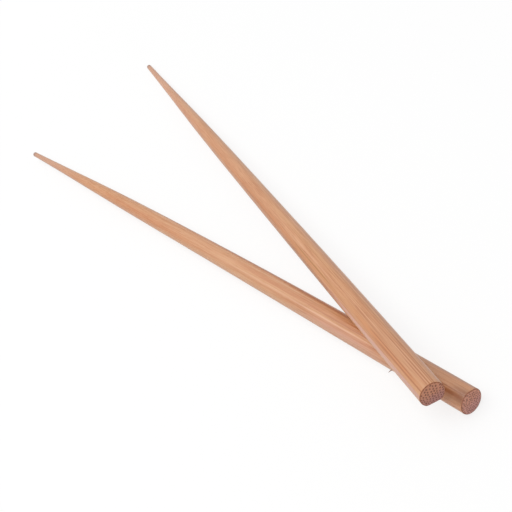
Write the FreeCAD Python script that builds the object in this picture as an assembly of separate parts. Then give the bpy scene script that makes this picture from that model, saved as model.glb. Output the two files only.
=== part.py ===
import FreeCAD, Part
import math
import os

from FreeCAD import Vector

# A pair of carbonised bamboo chopsticks, lying crossed near their butts.
# The lower one lies along Y with its butt towards -Y, on a narrow rest flat.
# The upper one lies across it on the flat of its own D-shaped handle, tip on the table.
# Lengths are millimetres and angles degrees. Each stick is drawn with its axis on Y,
# butt at 0, and polar angles of its section run from +X (0) over +Z (90).

# Driving dimensions of the turned stick, shared by the pair
LENGTH = 240.0
BUTT_DIAMETER = 8.5
GRIP_DIAMETER = 8.0
GRIP_FROM_BUTT = 60.0
WAIST_DIAMETER = 6.5
WAIST_FROM_TIP = 108.0
SHOULDER_DIAMETER = 4.35
SHOULDER_FROM_TIP = 48.0
POINT_DIAMETER = 2.95
POINT_FROM_TIP = 24.0
TIP_DIAMETER = 1.75
BUTT_EDGE_ROUNDING = 0.25
TIP_ROUNDING = 0.65

# Flats that the split blank leaves on the turned stick, at a constant distance from the axis.
# The flat runs out where the taper turns thinner than the blank.
UPPER_FLAT_OFFSET = 3.5
LOWER_FLAT_OFFSET = 3.95
LOWER_FLAT_ANGLE = 66.0
FLAT_CORNER_SHARPNESS = 22.0

# How the lower stick is bent and how it lies
LOWER_BOW = 0.9
LOWER_TIP_DROP = 0.95
REST_FLAT_DEPTH = 0.1

# How the upper stick lies across it
CROSSING_ANGLE = 16.35
CROSSING_FROM_LOWER_BUTT = 32.9
CROSSING_FROM_UPPER_BUTT = 28.9
SEAT_CLEARANCE = 0.06

# Fineness of the lofted surface and of the settling of the upper stick
TAPER_STEPS = 14
ROUNDING_STEPS = 4
SECTION_POINTS = 36
SETTLING_PASSES = 12


def taper_curve():
    """Half outline of the turned stick: distance from the butt along X, radius along Y."""
    outline = [
        Vector(0, BUTT_DIAMETER / 2, 0),
        Vector(GRIP_FROM_BUTT, GRIP_DIAMETER / 2, 0),
        Vector(LENGTH - WAIST_FROM_TIP, WAIST_DIAMETER / 2, 0),
        Vector(LENGTH - SHOULDER_FROM_TIP, SHOULDER_DIAMETER / 2, 0),
        Vector(LENGTH - POINT_FROM_TIP, POINT_DIAMETER / 2, 0),
        Vector(LENGTH, TIP_DIAMETER / 2, 0),
    ]
    curve = Part.BSplineCurve()
    curve.interpolate(outline)
    return curve


def radius_at(distance):
    """Turned radius at a distance from the butt."""
    across = Part.LineSegment(Vector(distance, 0, 0), Vector(distance, BUTT_DIAMETER, 0))
    meeting = taper_curve().intersect(across)[0]
    return meeting.Y


def quarter_round(size):
    """Points of a rounded rim: how far in from the end, and what is taken off the radius there."""
    turns = [math.pi / 2 * step / ROUNDING_STEPS for step in range(ROUNDING_STEPS)]
    return [(size * (1 - math.cos(turn)), size * (1 - math.sin(turn))) for turn in turns]


def stations():
    """Distance from the butt of every section, and the share of it that the rounded ends leave."""
    found = [(inward, 1 - taken / radius_at(inward)) for inward, taken in quarter_round(BUTT_EDGE_ROUNDING)]
    span = LENGTH - TIP_ROUNDING - BUTT_EDGE_ROUNDING
    for step in range(TAPER_STEPS + 1):
        found.append((BUTT_EDGE_ROUNDING + span * step / TAPER_STEPS, 1.0))
    for inward, taken in reversed(quarter_round(TIP_ROUNDING)):
        found.append((LENGTH - inward, 1 - taken / radius_at(LENGTH - inward)))
    return found


def bow_at(distance, bow):
    """Sideways shift of the axis of a stick bent to the given sagitta."""
    share = distance / LENGTH
    return 4 * bow * share * (1 - share)


def flattened_radius(radius, angle, flat_offset, flat_angle):
    """Radius of the section at an angle: the turned circle, cut by a flat with rounded corners."""
    facing = math.cos(math.radians(angle - flat_angle))
    inverse = radius ** -FLAT_CORNER_SHARPNESS
    if facing > 0:
        inverse += (facing / flat_offset) ** FLAT_CORNER_SHARPNESS
    return inverse ** (-1 / FLAT_CORNER_SHARPNESS)


def section(distance, share, bow, flat_offset, flat_angle):
    """Closed outline of the stick at a distance from the butt."""
    middle = Vector(bow_at(distance, bow), distance, 0)
    radius = radius_at(distance)
    points = []
    for step in range(SECTION_POINTS):
        angle = 360.0 * step / SECTION_POINTS
        reach = share * flattened_radius(radius, angle, flat_offset, flat_angle)
        turn = math.radians(angle)
        points.append(middle + Vector(reach * math.cos(turn), 0, reach * math.sin(turn)))
    even_steps = [float(step) for step in range(SECTION_POINTS + 1)]
    outline = Part.BSplineCurve()
    outline.interpolate(Points=points, PeriodicFlag=True, Parameters=even_steps)
    return Part.Wire(outline.toShape())


def stick(bow, flat_offset, flat_angle):
    """Turned stick with the flat of its blank, its butt edge broken and its tip rounded."""
    wires = [section(distance, share, bow, flat_offset, flat_angle) for distance, share in stations()]
    return Part.makeLoft(wires, True, True)


def reach_towards(direction, radius, flat_offset, flat_angle):
    """How far a section reaches from its axis in one direction."""
    reaches = []
    for angle in range(360):
        along = math.cos(math.radians(angle - direction))
        reaches.append(along * flattened_radius(radius, angle, flat_offset, flat_angle))
    return max(reaches)


def lower_axis_height(distance):
    """Height of the lower stick's axis over the table."""
    at_butt = BUTT_DIAMETER / 2 - REST_FLAT_DEPTH
    return at_butt - LOWER_TIP_DROP * distance / LENGTH


def lower_drop_angle():
    """Angle at which the lower stick's axis falls towards its tip."""
    return math.degrees(math.atan(LOWER_TIP_DROP / LENGTH))


def lower_direction():
    """Unit vector from the lower stick's butt to its tip."""
    direction = Vector(0, LENGTH, -LOWER_TIP_DROP)
    return direction.normalize()


def upper_direction(lean):
    """Unit vector from the upper stick's butt to its tip, for a lean in degrees."""
    turn = math.radians(CROSSING_ANGLE)
    fall = math.radians(lean)
    level = math.cos(fall)
    return Vector(math.sin(turn) * level, math.cos(turn) * level, -math.sin(fall))


def contact_normal(lean):
    """Upward unit vector square to both sticks, along which they press on each other."""
    normal = upper_direction(lean).cross(lower_direction())
    return normal.normalize()


def axis_spacing(lean):
    """Vertical distance between the two axes where they cross."""
    normal = contact_normal(lean)
    upward = math.degrees(math.atan2(normal.z, normal.x))
    lower_radius = radius_at(CROSSING_FROM_LOWER_BUTT)
    lower_reach = reach_towards(upward, lower_radius, LOWER_FLAT_OFFSET, LOWER_FLAT_ANGLE)
    upper_radius = radius_at(CROSSING_FROM_UPPER_BUTT)
    upper_reach = reach_towards(0, upper_radius, UPPER_FLAT_OFFSET, 0)
    return (upper_reach + lower_reach + SEAT_CLEARANCE) / normal.z


def upper_lean():
    """Angle at which the upper stick falls from the crossing to its tip on the table."""
    lean = 0.0
    tip_contact = LENGTH - TIP_ROUNDING
    for _ in range(SETTLING_PASSES):
        crossing_height = lower_axis_height(CROSSING_FROM_LOWER_BUTT) + axis_spacing(lean)
        fall = crossing_height - radius_at(tip_contact)
        lean = math.degrees(math.asin(fall / (tip_contact - CROSSING_FROM_UPPER_BUTT)))
    return lean


def flat_angle_facing_down(lean):
    """Section angle of the upper stick's flat, so that it lies along the lower stick."""
    direction = upper_direction(lean)
    sideways = direction.cross(Vector(0, 0, 1)).normalize()
    upward = sideways.cross(direction)
    downward = contact_normal(lean) * -1
    return math.degrees(math.atan2(downward.dot(upward), downward.dot(sideways)))


def below_table():
    """Block whose top is the table, as it lies to the lower stick's own axis."""
    margin = BUTT_DIAMETER + abs(LOWER_BOW)
    corner = Vector(-margin, -margin, -margin - lower_axis_height(0))
    block = Part.makeBox(2 * margin, LENGTH + 2 * margin, margin, corner)
    block.rotate(Vector(0, 0, 0), Vector(1, 0, 0), lower_drop_angle())
    return block


def lower_chopstick():
    """The stick underneath: bent a little sideways, dressed flat where it lies on the table."""
    body = stick(LOWER_BOW, LOWER_FLAT_OFFSET, LOWER_FLAT_ANGLE).cut(below_table())
    body.rotate(Vector(0, 0, 0), Vector(1, 0, 0), -lower_drop_angle())
    body.translate(Vector(0, 0, lower_axis_height(0)))
    return body


def upper_chopstick():
    """The stick on top: straight, its flat on the lower stick and its tip on the table."""
    lean = upper_lean()
    body = stick(0, UPPER_FLAT_OFFSET, flat_angle_facing_down(lean))
    body.translate(Vector(0, -CROSSING_FROM_UPPER_BUTT, 0))
    body.rotate(Vector(0, 0, 0), Vector(1, 0, 0), -lean)
    body.rotate(Vector(0, 0, 0), Vector(0, 0, 1), -CROSSING_ANGLE)
    crossing = Vector(
        bow_at(CROSSING_FROM_LOWER_BUTT, LOWER_BOW),
        CROSSING_FROM_LOWER_BUTT,
        lower_axis_height(CROSSING_FROM_LOWER_BUTT) + axis_spacing(lean),
    )
    body.translate(crossing)
    return body


def to_origin(bodies):
    """Slide the pair over the table until the middle of its footprint is the origin."""
    box = Part.makeCompound(bodies).optimalBoundingBox(False, False)
    shift = Vector(-box.Center.x, -box.Center.y, 0)
    for body in bodies:
        body.translate(shift)


def main():
    pieces = {"lower_chopstick": lower_chopstick(), "upper_chopstick": upper_chopstick()}
    to_origin(list(pieces.values()))
    os.makedirs("parts", exist_ok=True)
    for name, body in pieces.items():
        body.exportStep("parts/" + name + ".step")
        print(name, "solids", len(body.Solids), "faces", len(body.Faces), "valid", body.isValid())


main()
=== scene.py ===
import math
from collections import namedtuple

import bpy
import numpy as np
from mathutils import Matrix, Vector


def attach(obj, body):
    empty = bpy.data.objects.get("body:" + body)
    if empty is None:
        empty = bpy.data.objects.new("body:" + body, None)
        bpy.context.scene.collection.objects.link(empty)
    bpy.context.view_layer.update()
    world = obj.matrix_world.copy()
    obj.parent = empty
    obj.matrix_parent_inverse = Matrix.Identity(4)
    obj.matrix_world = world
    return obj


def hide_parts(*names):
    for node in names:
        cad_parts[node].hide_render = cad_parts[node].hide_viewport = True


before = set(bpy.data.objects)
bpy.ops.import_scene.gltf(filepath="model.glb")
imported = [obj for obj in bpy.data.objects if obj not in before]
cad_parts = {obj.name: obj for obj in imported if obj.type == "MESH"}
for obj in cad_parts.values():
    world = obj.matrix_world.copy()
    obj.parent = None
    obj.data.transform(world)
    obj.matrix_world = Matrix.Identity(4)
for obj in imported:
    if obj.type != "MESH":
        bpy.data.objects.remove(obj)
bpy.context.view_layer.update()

# A pair of carbonised bamboo chopsticks, one lying across the other near the butts.
# Lengths are millimetres and angles degrees, turned into metres where a mesh is made.
# Each stick is drawn with its axis on Y, butt at 0, and polar angles of its section
# run from +X (0) over +Z (90). It is then laid where the frame has it.
MM = 0.001

# Driving dimensions of the turned stick, as in the part's source
LENGTH = 240.0
BUTT_DIAMETER = 8.5
GRIP_DIAMETER = 8.0
GRIP_FROM_BUTT = 60.0
WAIST_DIAMETER = 6.5
WAIST_FROM_TIP = 108.0
SHOULDER_DIAMETER = 4.35
SHOULDER_FROM_TIP = 48.0
POINT_DIAMETER = 2.95
POINT_FROM_TIP = 24.0
TIP_DIAMETER = 1.75
BUTT_EDGE_ROUNDING = 0.25
TIP_ROUNDING = 0.65

# Flats that the split blank leaves on the turned stick
UPPER_FLAT_OFFSET = 3.5
LOWER_FLAT_OFFSET = 3.95
LOWER_FLAT_ANGLE = 66.0
FLAT_CORNER_SHARPNESS = 22.0

# How the lower stick is bent and how it lies
LOWER_BOW = 0.9
LOWER_TIP_DROP = 0.95
REST_FLAT_DEPTH = 0.1

# How the upper stick lies across it
CROSSING_ANGLE = 16.35
CROSSING_FROM_LOWER_BUTT = 32.9
CROSSING_FROM_UPPER_BUTT = 28.9
SEAT_CLEARANCE = 0.06
SETTLING_PASSES = 12

# Fineness of the meshes: rings along the stick, points around it, rings over its ends
BODY_RINGS = 420
RING_POINTS = 144
BUTT_ROUNDING_RINGS = 6
TIP_ROUNDING_RINGS = 10
BUTT_CAP_RINGS = 22
TIP_CAP_RINGS = 4

# Relief of the turned skin. It sinks under the full shape by a mean depth, with slow ripples,
# a twisting oval, and furrows of the fibre, for which the list has how many run round the stick
# and how deep. On the end faces it fades out within a small radius round the axis.
# Depths are millimetres, and paces are radians for each millimetre along the stick.
RELIEF_DEPTH = 0.035
RELIEF_FADE_RADIUS = 0.5
RIPPLE_DEPTH = 0.008
RIPPLE_PACE = 0.31
RIPPLE_UNEVENNESS = 1.7
RIPPLE_DRIFT_PACE = 0.047
OVAL_DEPTH = 0.012
OVAL_TWIST_PACE = 0.011
FURROWS = ((19, 0.006), (31, 0.005), (43, 0.004))
FURROW_WANDER = 0.5
FURROW_WANDER_PACE = 0.023
FURROW_FADING = 0.4
FURROW_FADING_PACE = 0.05
LOWER_RELIEF_SEED = 1.0
UPPER_RELIEF_SEED = 2.0

# The splinter on the lower stick, left where the fibre tore. Its root lies under the skin,
# its lean is how far it bends along the stick, and its end keeps some width.
SPLINTER_FROM_BUTT = 30.5
SPLINTER_ANGLE = 187.0
SPLINTER_LENGTH = 1.15
SPLINTER_ROOT = 0.2
SPLINTER_WIDTH = 0.42
SPLINTER_THINNESS = 0.6
SPLINTER_LEAN = 0.5
SPLINTER_BLUNTNESS = 0.12
SPLINTER_TAPER = 0.65
SPLINTER_RINGS = 12
SPLINTER_SIDES = 10

# The camera of the photograph, fitted to the outlines of the sticks and of their butt faces.
# Its angles are degrees, its roll is round its own axis, and its lengths are millimetres.
IMAGE_PIXELS = 512
FOCAL_PIXELS = 1500.0
SENSOR_WIDTH = 36.0
CAMERA_AZIMUTH = 22.286
CAMERA_ELEVATION = 41.650
CAMERA_ROLL = -29.413
CAMERA_DISTANCE = 517.44
CAMERA_TARGET = Vector((-15.276, -8.853, 0.0))
CAMERA_CLIP_START = 10.0


def natural_spline(knots, values, wanted):
    """Cubic through the values, straight at both ends, read at the wanted places."""
    count = len(knots)
    step = np.diff(knots)
    slope = np.diff(values) / step
    system = np.eye(count)
    target = np.zeros(count)
    for k in range(1, count - 1):
        system[k, k - 1:k + 2] = step[k - 1], 2 * (step[k - 1] + step[k]), step[k]
        target[k] = 6 * (slope[k] - slope[k - 1])
    bend = np.linalg.solve(system, target)
    k = np.clip(np.searchsorted(knots, wanted) - 1, 0, count - 2)
    after = wanted - knots[k]
    before = knots[k + 1] - wanted
    cubic = (bend[k] * before ** 3 + bend[k + 1] * after ** 3) / (6 * step[k])
    left = (values[k] / step[k] - bend[k] * step[k] / 6) * before
    right = (values[k + 1] / step[k] - bend[k + 1] * step[k] / 6) * after
    return cubic + left + right


def taper_radius(distance):
    """Turned radius at a distance from the butt."""
    places = np.array([
        0.0,
        GRIP_FROM_BUTT,
        LENGTH - WAIST_FROM_TIP,
        LENGTH - SHOULDER_FROM_TIP,
        LENGTH - POINT_FROM_TIP,
        LENGTH,
    ])
    diameters = np.array([
        BUTT_DIAMETER,
        GRIP_DIAMETER,
        WAIST_DIAMETER,
        SHOULDER_DIAMETER,
        POINT_DIAMETER,
        TIP_DIAMETER,
    ])
    return natural_spline(places, diameters / 2, np.asarray(distance, dtype=float))


def bow_at(distance, bow):
    """Sideways shift of the axis of a stick bent to the given sagitta."""
    share = distance / LENGTH
    return 4 * bow * share * (1 - share)


def flattened_radius(radius, angle, flat_offset, flat_angle):
    """Radius of the section at an angle: the turned circle, cut by a flat with rounded corners."""
    facing = np.maximum(np.cos(np.radians(angle - flat_angle)), 0)
    inverse = radius ** -FLAT_CORNER_SHARPNESS + (facing / flat_offset) ** FLAT_CORNER_SHARPNESS
    return inverse ** (-1 / FLAT_CORNER_SHARPNESS)


def reach_towards(direction, radius, flat_offset, flat_angle):
    """How far a section reaches from its axis in one direction."""
    angle = np.arange(360.0)
    along = np.cos(np.radians(angle - direction))
    return float((along * flattened_radius(radius, angle, flat_offset, flat_angle)).max())


def lower_axis_height(distance):
    """Height of the lower stick's axis over the table."""
    return BUTT_DIAMETER / 2 - REST_FLAT_DEPTH - LOWER_TIP_DROP * distance / LENGTH


def upper_direction(lean):
    """Unit vector from the upper stick's butt to its tip, for a lean in degrees."""
    turn = math.radians(CROSSING_ANGLE)
    fall = math.radians(lean)
    level = math.cos(fall)
    return Vector((math.sin(turn) * level, math.cos(turn) * level, -math.sin(fall)))


def contact_normal(lean):
    """Upward unit vector square to both sticks, along which they press on each other."""
    lower = Vector((0, LENGTH, -LOWER_TIP_DROP))
    return upper_direction(lean).cross(lower).normalized()


def axis_spacing(lean):
    """Vertical distance between the two axes where they cross."""
    normal = contact_normal(lean)
    upward = math.degrees(math.atan2(normal.z, normal.x))
    lower_radius = taper_radius(CROSSING_FROM_LOWER_BUTT)
    upper_radius = taper_radius(CROSSING_FROM_UPPER_BUTT)
    reach = reach_towards(upward, lower_radius, LOWER_FLAT_OFFSET, LOWER_FLAT_ANGLE)
    reach += reach_towards(0, upper_radius, UPPER_FLAT_OFFSET, 0)
    return (reach + SEAT_CLEARANCE) / normal.z


def upper_lean():
    """Angle at which the upper stick falls from the crossing to its tip on the table."""
    lean = 0.0
    tip_contact = LENGTH - TIP_ROUNDING
    for _ in range(SETTLING_PASSES):
        height = lower_axis_height(CROSSING_FROM_LOWER_BUTT) + axis_spacing(lean)
        fall = height - float(taper_radius(tip_contact))
        lean = math.degrees(math.asin(fall / (tip_contact - CROSSING_FROM_UPPER_BUTT)))
    return lean


def flat_angle_facing_down(lean):
    """Section angle of the upper stick's flat, so that it lies along the lower stick."""
    direction = upper_direction(lean)
    sideways = direction.cross(Vector((0, 0, 1))).normalized()
    upward = sideways.cross(direction)
    downward = -contact_normal(lean)
    return math.degrees(math.atan2(downward.dot(upward), downward.dot(sideways)))


def lower_place():
    """Matrix that lays the lower stick on the table, before the pair is centred."""
    drop = Matrix.Rotation(-math.atan(LOWER_TIP_DROP / LENGTH), 4, "X")
    return Matrix.Translation((0, 0, lower_axis_height(0))) @ drop


def upper_place():
    """Matrix that lays the upper stick across the lower one, before the pair is centred."""
    lean = upper_lean()
    crossing = Vector((
        bow_at(CROSSING_FROM_LOWER_BUTT, LOWER_BOW),
        CROSSING_FROM_LOWER_BUTT,
        lower_axis_height(CROSSING_FROM_LOWER_BUTT) + axis_spacing(lean),
    ))
    turn = Matrix.Rotation(math.radians(-CROSSING_ANGLE), 4, "Z")
    fall = Matrix.Rotation(math.radians(-lean), 4, "X")
    slide = Matrix.Translation((0, -CROSSING_FROM_UPPER_BUTT, 0))
    return Matrix.Translation(crossing) @ turn @ fall @ slide


def ring_stations():
    """Distance from the butt of every ring on the stick's side, and the share of it left there."""
    rows = []
    for step in range(BUTT_ROUNDING_RINGS):
        turn = math.pi / 2 * step / BUTT_ROUNDING_RINGS
        inward = BUTT_EDGE_ROUNDING * (1 - math.cos(turn))
        taken = BUTT_EDGE_ROUNDING * (1 - math.sin(turn))
        rows.append((inward, 1 - taken / float(taper_radius(inward))))
    for distance in np.linspace(BUTT_EDGE_ROUNDING, LENGTH - TIP_ROUNDING, BODY_RINGS):
        rows.append((distance, 1.0))
    for step in reversed(range(TIP_ROUNDING_RINGS)):
        turn = math.pi / 2 * step / TIP_ROUNDING_RINGS
        distance = LENGTH - TIP_ROUNDING * (1 - math.cos(turn))
        taken = TIP_ROUNDING * (1 - math.sin(turn))
        rows.append((distance, 1 - taken / float(taper_radius(distance))))
    return rows


def all_rings():
    """Rings from the middle of the butt face, over the side, to the middle of the tip."""
    side = ring_stations()
    rings = [(0.0, side[0][1] * step / BUTT_CAP_RINGS) for step in range(1, BUTT_CAP_RINGS)]
    rings += side
    tip_share = side[-1][1]
    rings += [(LENGTH, tip_share * (1 - step / TIP_CAP_RINGS)) for step in range(1, TIP_CAP_RINGS)]
    return rings


def stick_points(flat_offset, flat_angle):
    """Points of the stick's skin: the butt's middle, every ring, the tip's middle."""
    angle = np.arange(RING_POINTS) * 360.0 / RING_POINTS
    rows = []
    for distance, share in all_rings():
        reach = share * flattened_radius(taper_radius(distance), angle, flat_offset, flat_angle)
        across = reach * np.cos(np.radians(angle))
        height = reach * np.sin(np.radians(angle))
        rows.append(np.stack([across, np.full(RING_POINTS, distance), height], axis=1))
    butt_middle = [[0.0, 0.0, 0.0]]
    tip_middle = [[0.0, LENGTH, 0.0]]
    return np.concatenate([butt_middle, *rows, tip_middle])


def ring_quads(start, ring_count, ring_points):
    """Quads between rings whose points are numbered ring after ring from a start."""
    quads = []
    for ring in range(ring_count - 1):
        here = start + ring * ring_points
        above = here + ring_points
        for k in range(ring_points):
            after = (k + 1) % ring_points
            quads.append((here + k, above + k, above + after, here + after))
    return quads


def stick_faces():
    """Faces of the skin: quads between the rings, a fan on the butt and one on the tip."""
    ring_count = len(all_rings())
    butt_middle = 0
    first = 1
    last = first + (ring_count - 1) * RING_POINTS
    tip_middle = last + RING_POINTS
    faces = ring_quads(first, ring_count, RING_POINTS)
    for k in range(RING_POINTS):
        after = (k + 1) % RING_POINTS
        faces.append((butt_middle, first + k, first + after))
        faces.append((last + after, last + k, tip_middle))
    return faces


def skin_relief(points, seed):
    """How far the turned skin sinks under its full shape: ripples, oval and fibre furrows."""
    angle = np.arctan2(points[:, 2], points[:, 0])
    along = points[:, 1]
    drift = RIPPLE_UNEVENNESS * np.sin(along * RIPPLE_DRIFT_PACE + seed)
    ripple = RIPPLE_DEPTH * np.sin(along * RIPPLE_PACE + drift)
    oval = OVAL_DEPTH * np.sin(2 * angle + along * OVAL_TWIST_PACE + seed)
    furrow = np.zeros(len(points))
    for count, depth in FURROWS:
        wander = FURROW_WANDER * np.sin(along * FURROW_WANDER_PACE + count + seed)
        fading = FURROW_FADING * (1 - np.sin(along * FURROW_FADING_PACE + count))
        furrow += depth * np.sin(count * angle + wander) * (1 - fading)
    return RELIEF_DEPTH + ripple + oval + furrow


def laid(points, bow, place):
    """The stick's points bent to its bow and laid where the matrix says."""
    bent = points + np.outer(bow_at(points[:, 1], bow), [1.0, 0.0, 0.0])
    return bent @ np.array(place.to_3x3()).T + np.array(place.to_translation())


def footprint_centre(*clouds):
    """Slide over the table that brings the middle of the pair's footprint to the origin."""
    points = np.concatenate(clouds)
    middle = (points.min(axis=0) + points.max(axis=0)) / 2
    return Matrix.Translation((-middle[0], -middle[1], 0))


def make_piece(name, points, faces, local):
    """Smooth mesh in the frame that keeps the stick's own coordinates for the bamboo's grain."""
    mesh = bpy.data.meshes.new(name)
    mesh.from_pydata((points * MM).tolist(), [], faces)
    mesh.polygons.foreach_set("use_smooth", [True] * len(mesh.polygons))
    grain = mesh.attributes.new("grain", "FLOAT_VECTOR", "POINT")
    grain.data.foreach_set("vector", local.ravel())
    piece = bpy.data.objects.new(name, mesh)
    bpy.context.scene.collection.objects.link(piece)
    return piece


def make_stick(name, local, bow, place, seed):
    """One stick with its relief, nowhere under the table, and its ring shares kept for the rim."""
    radius = np.hypot(local[:, 0], local[:, 2])
    kept = 1 - skin_relief(local, seed) * radius / np.maximum(radius, RELIEF_FADE_RADIUS) ** 2
    points = laid(local * np.stack([kept, np.ones(len(kept)), kept], axis=1), bow, place)
    points[:, 2] = np.maximum(points[:, 2], 0)
    piece = make_piece(name, points, stick_faces(), local)
    ring_shares = np.repeat([share for _, share in all_rings()], RING_POINTS)
    shares = piece.data.attributes.new("share", "FLOAT", "POINT")
    shares.data.foreach_set("value", np.concatenate([[0.0], ring_shares, [0.0]]))
    return piece


def splinter_points():
    """Rings of the sliver that stands out of the lower stick's skin, thinner towards its end."""
    turn = math.radians(SPLINTER_ANGLE)
    outward = np.array([math.cos(turn), 0.0, math.sin(turn)])
    around = np.array([-math.sin(turn), 0.0, math.cos(turn)])
    along = np.array([0.0, 1.0, 0.0])
    root = float(taper_radius(SPLINTER_FROM_BUTT)) - SPLINTER_ROOT
    points = []
    for share in np.linspace(0, 1, SPLINTER_RINGS):
        lean = SPLINTER_LEAN * (1 - share) ** 2
        reach = root + (SPLINTER_LENGTH + SPLINTER_ROOT) * share
        middle = along * (SPLINTER_FROM_BUTT - lean) + outward * reach
        half = SPLINTER_WIDTH / 2 * (1 + SPLINTER_BLUNTNESS - share) ** SPLINTER_TAPER
        for side in np.linspace(0, 2 * math.pi, SPLINTER_SIDES, endpoint=False):
            flat = around * math.sin(side) * SPLINTER_THINNESS
            points.append(middle + half * (along * math.cos(side) + flat))
    return np.array(points)


def make_splinter(name, bow, place):
    """The sliver as a closed mesh, laid with the stick that it stands out of."""
    local = splinter_points()
    faces = ring_quads(0, SPLINTER_RINGS, SPLINTER_SIDES)
    last = (SPLINTER_RINGS - 1) * SPLINTER_SIDES
    faces.append(tuple(range(SPLINTER_SIDES)))
    faces.append(tuple(last + k for k in reversed(range(SPLINTER_SIDES))))
    return make_piece(name, laid(local, bow, place), faces, local)


def make_camera():
    """The photograph's camera, aimed at a point of the table."""
    azimuth = math.radians(CAMERA_AZIMUTH)
    elevation = math.radians(CAMERA_ELEVATION)
    roll = math.radians(CAMERA_ROLL)
    level = math.cos(elevation)
    forward = Vector((math.sin(azimuth) * level, math.cos(azimuth) * level, -math.sin(elevation)))
    right = Vector((math.cos(azimuth), -math.sin(azimuth), 0))
    up = right.cross(forward)
    rolled_right = math.cos(roll) * right + math.sin(roll) * up
    rolled_up = math.cos(roll) * up - math.sin(roll) * right
    data = bpy.data.cameras.new("camera")
    data.sensor_width = SENSOR_WIDTH
    data.lens = FOCAL_PIXELS / IMAGE_PIXELS * SENSOR_WIDTH
    data.clip_start = CAMERA_CLIP_START * MM
    camera = bpy.data.objects.new("camera", data)
    place = Matrix((rolled_right, rolled_up, -forward)).transposed().to_4x4()
    place.translation = (CAMERA_TARGET - forward * CAMERA_DISTANCE) * MM
    camera.matrix_world = place
    bpy.context.scene.collection.objects.link(camera)
    bpy.context.scene.camera = camera


def linear(value):
    """Linear share of light for one channel of a colour, 0 to 255."""
    share = value / 255
    if share <= 0.04045:
        return share / 12.92
    return ((share + 0.055) / 1.055) ** 2.4


def srgb(red, green, blue):
    """Linear colour from the usual 0 to 255 values."""
    return [linear(red), linear(green), linear(blue), 1.0]


# Light from all round and from the lamp, whose place and size are in metres
WHITE = (1.0, 1.0, 1.0, 1.0)
WORLD_LIGHT = 0.52
LAMP_WATTS = 6.0
LAMP_PLACE = Vector((-0.28, 0.12, 0.9))
LAMP_WIDTH = 1.0
LAMP_DEPTH = 0.8

# The white floor, in metres. The lift is the share of its brightness, as the camera sees it,
# that no shadow takes. It rises to the whole between two distances from the middle of the pair.
FLOOR_REACH = 4.0
FLOOR_GAP = 0.0002
FLOOR_PAPER = (0.88, 0.88, 0.88, 1.0)
FLOOR_GLOW = 1.03
WHITE_LIFT = 0.78
SHADOW_REACH = 0.14
SHADOW_GONE = 3 * SHADOW_REACH

# The fibre bundles. They wander sideways by up to so many millimetres, and their outlines are
# uneven by some. Each fills up from its edge inwards, and so does its paler core: those four
# values are shares of the bundle's size. The bundles lie on a lattice turned by an eighth
# of a circle, and the diamond scale sets its cells one gap apart.
BUNDLE_WANDER = 0.9
BUNDLE_UNEVENNESS = 0.45
BUNDLE_EDGE = 0.36
BUNDLE_FULL = 0.16
CORE_EDGE = 0.14
CORE_FULL = 0.03
CORE_PALENESS = 0.5
LATTICE_TURN = math.radians(45)
DIAMOND_SCALE = math.sqrt(0.5)

# Noises of the grain: how fast each changes across and along the stick, in waves a millimetre,
# how many finer waves it has and how strong they are. How fast the bundles' wander changes
# across is the waviness of each stick. The noises of a stick are moved by its seed, times
# the spread, across, along and over it.
Noise = namedtuple("Noise", "across along detail roughness")
SIDE_NOISES = {
    "broad": Noise(0.45, 0.012, 2.0, 0.5),
    "flame": Noise(0.9, 0.02, 3.0, 0.5),
    "fine": Noise(2.6, 0.02, 4.0, 0.7),
    "hair": Noise(5.0, 0.03, 2.0, 0.6),
    "vessel": Noise(9.0, 0.1, 1.0, 0.5),
}
RAGGED_NOISE = Noise(4.5, 0.05, 1.0, 0.5)
END_PATCH_NOISE = Noise(0.5, 0.0, 2.0, 0.5)
END_SPECK_NOISE = Noise(6.0, 0.0, 2.0, 0.5)
TORN_NOISE = Noise(3.0, 9.0, 3.0, 0.7)
WANDER_NOISE = Noise(0.0, 0.015, 1.0, 0.5)
SEED_SPREAD = (1.0, 3.1, 1.7)

# Tones of the side, laid over each other in this order. Each starts at one value of its noise
# and is full at another, and mixes in, or multiplies by, a colour of the stick's look
# by up to its share.
Tone = namedtuple("Tone", "noise start full share blend colour")
SIDE_TONES = [
    Tone("broad", 0.36, 0.64, 1.0, "MIX", "orange"),
    Tone("flame", 0.52, 0.78, 0.55, "MULTIPLY", "streak"),
    Tone("fine", 0.5, 0.72, 1.0, "MULTIPLY", "fibre"),
    Tone("fine", 0.48, 0.28, 0.6, "MIX", "pale"),
    Tone("hair", 0.45, 0.65, 1.0, "MULTIPLY", "fibre"),
    Tone("vessel", 0.58, 0.68, 1.0, "MULTIPLY", "vessel"),
    Tone("vessel", 0.42, 0.32, 0.4, "MIX", "pale"),
]

# A bundle that the side cuts through is darker there: from which of its tones, to which, and how much
CUT_START = 0.3
CUT_FULL = 0.9
CUT_SHARE = 0.35

# Towards the tip a stick takes on its own tone, and its last millimetres are soiled
TIP_SHARE = 0.5
SOILED_FROM_TIP = 2.8
DARKEST_FROM_TIP = 0.6
SOILED_SHARE = 0.6

# The sawn end. Its shade sets in downwards between two depths, which move up and down in patches,
# all in millimetres. The palest dot has this share of the dark ones' strength. The rim begins
# and is full at shares of the section's radius. The look of the end fades into that
# of the side between two distances from the butt.
END_PATCHINESS = 5.0
END_SHADE_START = 0.5
END_SHADE_FULL = 5.5
END_SPECK_START = 0.45
END_SPECK_FULL = 0.7
END_SPECK = srgb(228, 218, 212)
PALEST_DOT = 0.8
RIM_START = 0.9
RIM_FULL = 0.96
RIM_SHARE = 0.8
END_LOOK_FULL = 0.12
END_LOOK_GONE = 0.28

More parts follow.
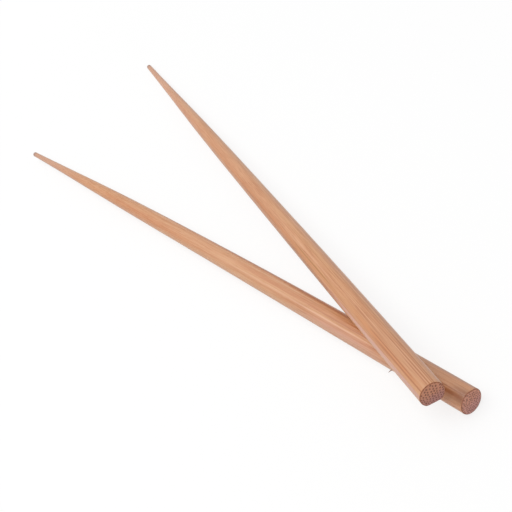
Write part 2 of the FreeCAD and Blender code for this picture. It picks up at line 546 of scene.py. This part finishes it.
# Surface: a thin worn coat over satin fibre, rougher where it is sawn. The bump has a depth
# in millimetres, of which fibres, vessels and bundles take their shares.
REFRACTION = 1.5
COAT_WEIGHT = 0.25
COAT_ROUGHNESS = 0.28
SATIN_ROUGHNESS = 0.38
FIBRE_ROUGHNESS = 0.12
SAWN_ROUGHNESS = 0.35
BUMP_DEPTH = 0.03
BUMP_STRENGTH = 0.5
FIBRE_HEIGHT = 0.6
VESSEL_DEPTH = 0.5
BUNDLE_DEPTH = 0.4

# Torn fibre of the splinter, between two tones
TORN_DARK = srgb(128, 94, 76)
TORN_PALE = srgb(164, 126, 104)
TORN_START = 0.35
TORN_FULL = 0.65
TORN_ROUGHNESS = 0.6
TORN_UNEVENNESS = 0.2

# Fibre lines and broader bands of a stick, among them painted shade, painted highlights and painted
# sheen, laid on in this order: middle and half width in degrees of its section, where each begins
# and ends in millimetres from the butt, how softly, how strong and in what colour. Of the half width,
# the core's share is at full strength.
# A line that runs out at the butt begins before it, and one that runs out at the tip ends past it.
FibreAndLightLine = namedtuple("FibreAndLightLine", "angle width start end fade strength colour")
LINE_CORE = 0.3
BEFORE_BUTT = -9
PAST_TIP = 250
DARK_LINE = srgb(158, 88, 46)
WARM_LINE = srgb(202, 132, 84)
BURNT_LINE = srgb(140, 92, 68)
# Greyish brown painted as shade along the sticks' edges, where their sides turn away from the light
EDGE_SHADE = srgb(146, 106, 90)
RUDDY_LINE = srgb(194, 138, 106)
OLIVE_LINE = srgb(170, 114, 58)
PALE_LINE = srgb(228, 184, 148)
# Pale line along the lower stick: a pale fibre line, brightened into a painted highlight
RIDGE_HIGHLIGHT = srgb(232, 188, 158)
# Pale mauve painted as the sheen of the white surroundings on the sticks' grazing sides
MAUVE_SHEEN = srgb(226, 182, 178)
TIP_GREY = srgb(146, 118, 112)

UPPER_LINES = [
    # Painted shade along the right edge of the upper stick
    FibreAndLightLine(40, 14.0, BEFORE_BUTT, 200, 10, 0.13, EDGE_SHADE),
    # Painted shade on the turned-under left edge of the upper stick past the crossing
    FibreAndLightLine(163, 14.0, 52, 96, 12, 0.3, EDGE_SHADE),
    FibreAndLightLine(42, 18.0, BEFORE_BUTT, 24, 8, 0.25, WARM_LINE),
    FibreAndLightLine(159, 15.0, BEFORE_BUTT, 17, 7, 0.15, TIP_GREY),
    FibreAndLightLine(90, 60.0, BEFORE_BUTT, 36, 12, 0.25, RUDDY_LINE),
    FibreAndLightLine(98, 28.0, 5, 42, 9, 0.08, BURNT_LINE),
    FibreAndLightLine(152, 16.0, 112, 146, 10, 0.1, DARK_LINE),
    FibreAndLightLine(95, 90.0, 222, PAST_TIP, 8, 0.08, TIP_GREY),
    FibreAndLightLine(84, 48.0, 76, 200, 18, 0.1, PALE_LINE),
    FibreAndLightLine(134, 14.0, 62, 165, 18, 0.45, WARM_LINE),
    FibreAndLightLine(141, 7.0, 98, 140, 12, 0.35, DARK_LINE),
    FibreAndLightLine(122, 15.0, 4, 44, 10, 0.5, WARM_LINE),
    FibreAndLightLine(128, 4.8, BEFORE_BUTT, 28, 6, 0.6, DARK_LINE),
    FibreAndLightLine(116, 4.0, 7, 33, 4, 0.6, DARK_LINE),
    # Painted reflection: pale mauve band along the lower left side of the upper stick
    FibreAndLightLine(159, 17.0, BEFORE_BUTT, 60, 14, 0.36, MAUVE_SHEEN),
    FibreAndLightLine(152, 13.0, 146, 186, 12, 0.14, TIP_GREY),
    FibreAndLightLine(91, 3.2, BEFORE_BUTT, 13, 5, 0.5, DARK_LINE),
    FibreAndLightLine(80.5, 3.4, BEFORE_BUTT, 27, 5, 0.45, DARK_LINE),
    FibreAndLightLine(61, 4.6, BEFORE_BUTT, 28, 6, 0.45, DARK_LINE),
    FibreAndLightLine(62, 4.0, 34, 70, 8, 0.3, DARK_LINE),
    FibreAndLightLine(104, 3.4, 27, 52, 6, 0.3, DARK_LINE),
    FibreAndLightLine(125.5, 5.0, 62, 87, 5, 0.75, OLIVE_LINE),
    FibreAndLightLine(108, 5.0, 58, 90, 8, 0.3, PALE_LINE),
    FibreAndLightLine(95, 3.6, 28, 62, 8, 0.3, PALE_LINE),
    FibreAndLightLine(85.5, 3.0, BEFORE_BUTT, 26, 5, 0.4, PALE_LINE),
    FibreAndLightLine(74, 3.4, BEFORE_BUTT, 18, 6, 0.4, PALE_LINE),
]
LOWER_LINES = [
    # Painted sheen on the lower left side of the lower stick past the crossing
    FibreAndLightLine(160, 24.0, 36, 72, 16, 0.16, MAUVE_SHEEN),
    # Painted shade that the upper stick casts over the lower stick's butt end
    FibreAndLightLine(72, 44.0, BEFORE_BUTT, 25, 7, 0.11, TIP_GREY),
    # Painted shade along the far edge of the lower stick at its butt
    FibreAndLightLine(38, 16.0, BEFORE_BUTT, 22, 6, 0.52, EDGE_SHADE),
    # Painted shade along the far edge of the lower stick towards the tip
    FibreAndLightLine(40, 13.0, 78, 196, 16, 0.34, EDGE_SHADE),
    FibreAndLightLine(120, 110.0, 66, 140, 24, 0.17, PALE_LINE),
    # Painted shadow of the upper stick on the lower stick's left flank at the butt
    FibreAndLightLine(122, 9.0, BEFORE_BUTT, 11, 5, 0.6, DARK_LINE),
    FibreAndLightLine(106, 3.2, BEFORE_BUTT, 12, 5, 0.6, DARK_LINE),
    FibreAndLightLine(114, 52.0, BEFORE_BUTT, 4.5, 4, 0.8, BURNT_LINE),
    # The next two: a pale fibre line along the lower stick, brightened into a painted highlight
    FibreAndLightLine(122.5, 7.0, 38, 112, 18, 0.27, RIDGE_HIGHLIGHT),
    FibreAndLightLine(122.5, 6.5, 42, 72, 10, 0.4, RIDGE_HIGHLIGHT),
    # Painted sheen on the left side of the lower stick past the crossing
    FibreAndLightLine(141, 20.0, 38, 66, 8, 0.18, MAUVE_SHEEN),
    FibreAndLightLine(135, 4.0, 34, 128, 14, 0.2, DARK_LINE),
    FibreAndLightLine(105, 5.0, 40, 66, 8, 0.35, DARK_LINE),
    # Painted shade on the top of the lower stick beside the crossing
    FibreAndLightLine(108, 15.0, 42, 62, 8, 0.18, DARK_LINE),
    FibreAndLightLine(136, 36.0, 132, 214, 16, 0.26, WARM_LINE),
    FibreAndLightLine(95, 30.0, 42, 92, 12, 0.07, DARK_LINE),
    # The next two: painted shade that the upper stick casts on the lower stick's far side past the
    # crossing
    FibreAndLightLine(48, 10.0, 60, 122, 10, 0.4, DARK_LINE),
    FibreAndLightLine(54, 12.0, 48, 82, 8, 0.5, DARK_LINE),
    FibreAndLightLine(72, 6.0, 62, 100, 10, 0.4, PALE_LINE),
]

# Tints that the colour of both sticks is multiplied by
SHARED_TINTS = {
    "streak": srgb(236, 210, 184),
    "fibre": srgb(240, 226, 212),
    "vessel": srgb(230, 212, 196),
}

# Look of the upper stick. Its bundles lie in rows that run towards the skin of the culm that it
# was split from, which lies at the culm angle less a quarter turn. Rows, and the bundles
# in a row, are so many millimetres apart, and closer by the crowding's share for each millimetre
# towards the skin. A bundle's size is in millimetres, and its length is so many times its width.
# The disorder is the share by which bundles stray from the lattice, and the tip's tone starts
# so many millimetres from the butt.
UPPER_LOOK = {
    **SHARED_TINTS,
    "seed": 37.0,
    "culm angle": -5.0,
    "row gap": 0.9,
    "bundle gap": 0.44,
    "bundle size": 0.95,
    "bundle length": 1.1,
    "crowding": 0.032,
    "disorder": 0.3,
    "waviness": 0.12,
    "tan": srgb(207, 153, 109),
    "orange": srgb(204, 145, 104),
    "pale": srgb(220, 174, 134),
    "tip": srgb(208, 166, 144),
    "tip start": 165.0,
    "end ground": srgb(206, 141, 110),
    "end shade": srgb(182, 127, 119),
    "end bundle": srgb(102, 52, 29),
    "end rim": srgb(150, 88, 52),
    "lines": UPPER_LINES,
}

# The same for the lower stick
LOWER_LOOK = {
    **SHARED_TINTS,
    "seed": 11.0,
    "culm angle": 35.0,
    "row gap": 0.47,
    "bundle gap": 0.66,
    "bundle size": 0.68,
    "bundle length": 1.9,
    "crowding": 0.035,
    "disorder": 0.5,
    "waviness": 0.3,
    "tan": srgb(209, 155, 112),
    "orange": srgb(206, 147, 107),
    "pale": srgb(221, 175, 137),
    "tip": srgb(198, 162, 144),
    "tip start": 190.0,
    "end ground": srgb(211, 147, 122),
    "end shade": srgb(206, 148, 138),
    "end bundle": srgb(106, 54, 42),
    "end rim": srgb(148, 88, 58),
    "lines": LOWER_LINES,
}


class Graph:
    """Short names for building the nodes of a material or of the world."""

    def __init__(self, holder):
        holder.use_nodes = True
        self.tree = holder.node_tree
        self.tree.nodes.clear()

    def put(self, socket, value):
        """Link a socket to another one, or set it to a plain value."""
        if isinstance(value, bpy.types.NodeSocket):
            self.tree.links.new(value, socket)
        else:
            socket.default_value = value

    def node(self, kind, inputs=None, **settings):
        """A node with its settings made and its inputs put by name."""
        made = self.tree.nodes.new(kind)
        for name, value in settings.items():
            setattr(made, name, value)
        for name, value in (inputs or {}).items():
            self.put(made.inputs[name], value)
        return made

    def ordered(self, kind, operation, values):
        """A node of maths, with its inputs put in their order."""
        made = self.node(kind, operation=operation)
        for socket, value in zip(made.inputs, values):
            self.put(socket, value)
        return made

    def maths(self, operation, *values):
        """Result of an operation on numbers."""
        return self.ordered("ShaderNodeMath", operation, values).outputs["Value"]

    def times(self, first, second):
        """Product of two numbers."""
        return self.maths("MULTIPLY", first, second)

    def times_plus(self, first, second, added):
        """Product of two numbers, plus a third."""
        return self.maths("MULTIPLY_ADD", first, second, added)

    def vector(self, operation, *values):
        """Result of an operation on vectors."""
        return self.ordered("ShaderNodeVectorMath", operation, values).outputs["Vector"]

    def length(self, vector):
        """Length of a vector."""
        return self.ordered("ShaderNodeVectorMath", "LENGTH", [vector]).outputs["Value"]

    def parts(self, vector):
        """The three numbers of a vector."""
        return tuple(self.node("ShaderNodeSeparateXYZ", {"Vector": vector}).outputs)

    def turned(self, vector, rotation, scale=(1, 1, 1)):
        """A vector scaled, and then turned by angles round X, Y and Z."""
        inputs = {"Vector": vector, "Rotation": rotation, "Scale": scale}
        return self.node("ShaderNodeMapping", inputs).outputs["Vector"]

    def attribute(self, name, output):
        """An attribute that the mesh keeps."""
        return self.node("ShaderNodeAttribute", attribute_name=name).outputs[output]

    def step(self, value, start, full):
        """0 before the start, 1 past the full value and smooth between, upwards or downwards."""
        upwards = start < full
        inputs = {
            "Value": value,
            "From Min": min(start, full),
            "From Max": max(start, full),
            "To Min": 0.0 if upwards else 1.0,
            "To Max": 1.0 if upwards else 0.0,
        }
        made = self.node("ShaderNodeMapRange", inputs, interpolation_type="SMOOTHSTEP")
        return made.outputs["Result"]

    def mix(self, share, colour, other, blend="MIX"):
        """The colour mixed with the other, or multiplied by it, by a share."""
        inputs = {"Factor": share, "A": colour, "B": other}
        made = self.node("ShaderNodeMix", inputs, data_type="RGBA", blend_type=blend)
        return made.outputs["Result"]

    def noise(self, vector, noise, output="Fac"):
        """A noise, stretched across and along the stick."""
        place = self.vector("MULTIPLY", vector, (noise.across, noise.along, noise.across))
        inputs = {"Vector": place, "Scale": 1.0, "Detail": noise.detail, "Roughness": noise.roughness}
        return self.node("ShaderNodeTexNoise", inputs).outputs[output]


def seen_rays(graph):
    """1 on rays from the camera, a mirror or a glass, which see white behind; 0 on the others."""
    path = graph.node("ShaderNodeLightPath")
    seen = graph.maths("MAXIMUM", path.outputs["Is Camera Ray"], path.outputs["Is Glossy Ray"])
    return graph.maths("MAXIMUM", seen, path.outputs["Is Transmission Ray"])


def floor_material():
    """White paper that the camera and mirrors see as white, with a faint shadow of the sticks."""
    material = bpy.data.materials.new("white sweep")
    graph = Graph(material)
    paper = graph.node("ShaderNodeBsdfDiffuse", {"Color": FLOOR_PAPER})
    glow = graph.node("ShaderNodeEmission", {"Color": WHITE, "Strength": FLOOR_GLOW})
    away = graph.length(graph.node("ShaderNodeNewGeometry").outputs["Position"])
    far = graph.step(away, SHADOW_REACH, SHADOW_GONE)
    lift = graph.times_plus(far, 1 - WHITE_LIFT, WHITE_LIFT)
    both = graph.node("ShaderNodeMixShader")
    graph.put(both.inputs[0], graph.times(seen_rays(graph), lift))
    graph.put(both.inputs[1], paper.outputs[0])
    graph.put(both.inputs[2], glow.outputs[0])
    graph.node("ShaderNodeOutputMaterial", {"Surface": both.outputs[0]})
    return material


def make_floor():
    """Large white floor just under the pair."""
    mesh = bpy.data.meshes.new("floor")
    corners = [(x * FLOOR_REACH, y * FLOOR_REACH, 0) for x, y in ((-1, -1), (1, -1), (1, 1), (-1, 1))]
    mesh.from_pydata(corners, [], [(0, 1, 2, 3)])
    mesh.materials.append(floor_material())
    floor = bpy.data.objects.new("floor", mesh)
    floor.location.z = -FLOOR_GAP
    bpy.context.scene.collection.objects.link(floor)


def make_world():
    """Soft light from all round, whose background is white to the camera."""
    world = bpy.data.worlds.new("world")
    bpy.context.scene.world = world
    graph = Graph(world)
    strength = graph.times_plus(seen_rays(graph), 1 - WORLD_LIGHT, WORLD_LIGHT)
    sky = graph.node("ShaderNodeBackground", {"Color": WHITE, "Strength": strength})
    graph.node("ShaderNodeOutputWorld", {"Surface": sky.outputs[0]})


def make_lamp():
    """Broad soft lamp overhead, a little to the left."""
    data = bpy.data.lights.new("softbox", "AREA")
    data.shape = "RECTANGLE"
    data.size = LAMP_WIDTH
    data.size_y = LAMP_DEPTH
    data.energy = LAMP_WATTS
    lamp = bpy.data.objects.new("softbox", data)
    lamp.location = LAMP_PLACE
    lamp.rotation_euler = (-lamp.location).to_track_quat("-Z", "Y").to_euler()
    bpy.context.scene.collection.objects.link(lamp)


# A point of the bamboo: its grain coordinates, the same moved by the stick's seed for the noises,
# and each of its grain coordinates by itself
Spot = namedtuple("Spot", "grain seeded across along height")


def grain_spot(graph, seed):
    """The point that is shaded, in the coordinates of its stick."""
    grain = graph.attribute("grain", "Vector")
    seeded = graph.vector("ADD", grain, [seed * spread for spread in SEED_SPREAD])
    return Spot(grain, seeded, *graph.parts(grain))


def section_angle(graph, spot):
    """Polar angle of the section in degrees, 0 to 360 from +X over +Z."""
    left = graph.times(spot.across, -1.0)
    down = graph.times(spot.height, -1.0)
    return graph.times_plus(graph.maths("ARCTAN2", down, left), 180 / math.pi, 180.0)


def fibre_and_light_line(graph, angle, along, line):
    """Share of a line, whether fibre, painted shade or painted highlight, which runs at one angle
    between two distances from the butt.
    """
    off = graph.maths("ABSOLUTE", graph.maths("SUBTRACT", angle, line.angle))
    across = graph.step(off, line.width, line.width * LINE_CORE)
    begins = graph.step(along, line.start - line.fade, line.start + line.fade)
    ends = graph.step(along, line.end + line.fade, line.end - line.fade)
    share = graph.times(across, graph.times(begins, ends))
    return graph.times(share, line.strength)


def crowded_section(graph, spot, look):
    """Section in which the bundles lie: it wanders along the stick and is denser towards the skin."""
    drift = graph.noise(spot.seeded, WANDER_NOISE._replace(across=look["waviness"]), "Color")
    sideways = (BUNDLE_WANDER, 0, BUNDLE_WANDER)
    wandering = graph.vector("MULTIPLY_ADD", drift, sideways, spot.grain)
    culm_turn = (math.radians(90), 0, math.radians(look["culm angle"]))
    section = graph.turned(wandering, culm_turn)
    towards_skin = graph.parts(section)[1]
    crowd = graph.times_plus(towards_skin, look["crowding"], 1.0)
    inputs = {"Vector": section, "Scale": crowd}
    return graph.node("ShaderNodeVectorMath", inputs, operation="SCALE").outputs["Vector"]


def bundle_cells(graph, spot, look):
    """Fibre bundles as cells of the section: how much of one is here, and its own tone."""
    section = crowded_section(graph, spot, look)
    row_gap = look["row gap"]
    bundle_gap = look["bundle gap"]
    lattice = graph.turned(section, (0, 0, LATTICE_TURN), (1 / row_gap, 1 / bundle_gap, 1))
    inputs = {"Vector": lattice, "Scale": DIAMOND_SCALE, "Randomness": look["disorder"]}
    cells = graph.node("ShaderNodeTexVoronoi", inputs, voronoi_dimensions="2D")
    tone = graph.node("ShaderNodeSeparateColor", {"Color": cells.outputs["Color"]}).outputs[0]
    away = graph.vector("SUBTRACT", lattice, cells.outputs["Position"])
    upright = graph.turned(away, (0, 0, -LATTICE_TURN))
    to_millimetres = (row_gap, bundle_gap / look["bundle length"], 0)
    distance = graph.length(graph.vector("MULTIPLY", upright, to_millimetres))
    ragged = graph.noise(spot.seeded, RAGGED_NOISE)
    uneven = graph.times_plus(ragged, BUNDLE_UNEVENNESS, -BUNDLE_UNEVENNESS / 2)
    reach = graph.maths("ADD", distance, uneven)
    size = look["bundle size"]
    bundle = graph.step(reach, BUNDLE_EDGE * size, BUNDLE_FULL * size)
    core = graph.step(reach, CORE_EDGE * size, CORE_FULL * size)
    return graph.times(bundle, graph.times_plus(core, -CORE_PALENESS, 1.0)), tone


def side_colour(graph, spot, noises, bundle, tone, look):
    """Warm tan with straight fibre streaks, darker where a bundle is cut and paler between, under the
    stick's lines: fibre lines, painted shade, painted highlights and sheen.
    """
    colour = look["tan"]
    for layer in SIDE_TONES:
        strength = graph.step(noises[layer.noise], layer.start, layer.full)
        share = graph.times(strength, layer.share)
        colour = graph.mix(share, colour, look[layer.colour], layer.blend)
    cut = graph.times(bundle, graph.step(tone, CUT_START, CUT_FULL))
    colour = graph.mix(graph.times(cut, CUT_SHARE), colour, look["streak"], "MULTIPLY")
    thin = graph.step(spot.along, look["tip start"], LENGTH)
    colour = graph.mix(graph.times(thin, TIP_SHARE), colour, look["tip"])
    angle = section_angle(graph, spot)
    for line in look["lines"]:
        colour = graph.mix(fibre_and_light_line(graph, angle, spot.along, line), colour, line.colour)
    soiled = graph.step(spot.along, LENGTH - SOILED_FROM_TIP, LENGTH - DARKEST_FROM_TIP)
    return graph.mix(graph.times(soiled, SOILED_SHARE), colour, TIP_GREY)


def end_colour(graph, spot, bundle, tone, look):
    """Sawn end: speckled ground that shades downwards, dark dots of the bundles, darker rim."""
    patch = graph.noise(spot.seeded, END_PATCH_NOISE)
    below = graph.times_plus(patch, END_PATCHINESS, graph.times(spot.height, -1.0))
    shade = graph.step(below, END_SHADE_START, END_SHADE_FULL)
    ground = graph.mix(shade, look["end ground"], look["end shade"])
    speck = graph.noise(spot.seeded, END_SPECK_NOISE)
    specked = graph.step(speck, END_SPECK_START, END_SPECK_FULL)
    ground = graph.mix(specked, ground, END_SPECK, "MULTIPLY")
    strength = graph.times_plus(tone, 1 - PALEST_DOT, PALEST_DOT)
    colour = graph.mix(graph.times(bundle, strength), ground, look["end bundle"])
    rim = graph.step(graph.attribute("share", "Fac"), RIM_START, RIM_FULL)
    return graph.mix(graph.times(rim, RIM_SHARE), colour, look["end rim"])


def finish_surface(graph, shader, height):
    """Give a shader its bump and send it to the material's output."""
    inputs = {"Strength": BUMP_STRENGTH, "Distance": BUMP_DEPTH * MM, "Height": height}
    bump = graph.node("ShaderNodeBump", inputs)
    graph.put(shader.inputs["Normal"], bump.outputs[0])
    graph.node("ShaderNodeOutputMaterial", {"Surface": shader.outputs[0]})


def bamboo_material(name, look):
    """Carbonised bamboo: its bundles run the whole length, streaks on the side, dots on the butt."""
    material = bpy.data.materials.new(name)
    graph = Graph(material)
    spot = grain_spot(graph, look["seed"])
    noises = {kind: graph.noise(spot.seeded, noise) for kind, noise in SIDE_NOISES.items()}
    bundle, tone = bundle_cells(graph, spot, look)
    side = side_colour(graph, spot, noises, bundle, tone, look)
    end = end_colour(graph, spot, bundle, tone, look)
    sawn = graph.step(spot.along, END_LOOK_GONE, END_LOOK_FULL)
    satin = graph.times_plus(noises["fine"], FIBRE_ROUGHNESS, SATIN_ROUGHNESS)
    shader = graph.node("ShaderNodeBsdfPrincipled", {
        "Base Color": graph.mix(sawn, side, end),
        "Roughness": graph.times_plus(sawn, SAWN_ROUGHNESS, satin),
        "IOR": REFRACTION,
        "Coat Weight": COAT_WEIGHT,
        "Coat Roughness": COAT_ROUGHNESS,
    })
    sunk = graph.times_plus(noises["vessel"], VESSEL_DEPTH, graph.times(bundle, BUNDLE_DEPTH))
    raised = graph.times(noises["fine"], FIBRE_HEIGHT)
    finish_surface(graph, shader, graph.maths("SUBTRACT", raised, sunk))
    return material


def splinter_material():
    """Torn fibre, greyer and browner than the turned skin, streaked along its length."""
    material = bpy.data.materials.new("torn fibre")
    graph = Graph(material)
    torn = graph.noise(graph.attribute("grain", "Vector"), TORN_NOISE)
    shader = graph.node("ShaderNodeBsdfPrincipled", {
        "Base Color": graph.mix(graph.step(torn, TORN_START, TORN_FULL), TORN_DARK, TORN_PALE),
        "Roughness": graph.times_plus(torn, TORN_UNEVENNESS, TORN_ROUGHNESS),
        "IOR": REFRACTION,
    })
    finish_surface(graph, shader, torn)
    return material


def dress(piece, node, material):
    """Give a stick its material, hang it under the root, and hide the node that it stands for."""
    piece.data.materials.append(material)
    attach(piece, "root")
    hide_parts(node)


def main():
    scene = bpy.context.scene
    scene.view_settings.view_transform = "Standard"
    make_camera()
    make_floor()
    make_world()
    make_lamp()
    lower_points = stick_points(LOWER_FLAT_OFFSET, LOWER_FLAT_ANGLE)
    upper_points = stick_points(UPPER_FLAT_OFFSET, flat_angle_facing_down(upper_lean()))
    slide = footprint_centre(
        laid(lower_points, LOWER_BOW, lower_place()),
        laid(upper_points, 0.0, upper_place()),
    )
    lower_laid = slide @ lower_place()
    upper_laid = slide @ upper_place()
    lower = make_stick("lower_bamboo_stick", lower_points, LOWER_BOW, lower_laid, LOWER_RELIEF_SEED)
    upper = make_stick("upper_bamboo_stick", upper_points, 0.0, upper_laid, UPPER_RELIEF_SEED)
    dress(lower, "lower_chopstick", bamboo_material("lower bamboo", LOWER_LOOK))
    dress(upper, "upper_chopstick", bamboo_material("upper bamboo", UPPER_LOOK))
    splinter = make_splinter("lower_bamboo_splinter", LOWER_BOW, lower_laid)
    splinter.data.materials.append(splinter_material())
    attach(splinter, "root")


main()
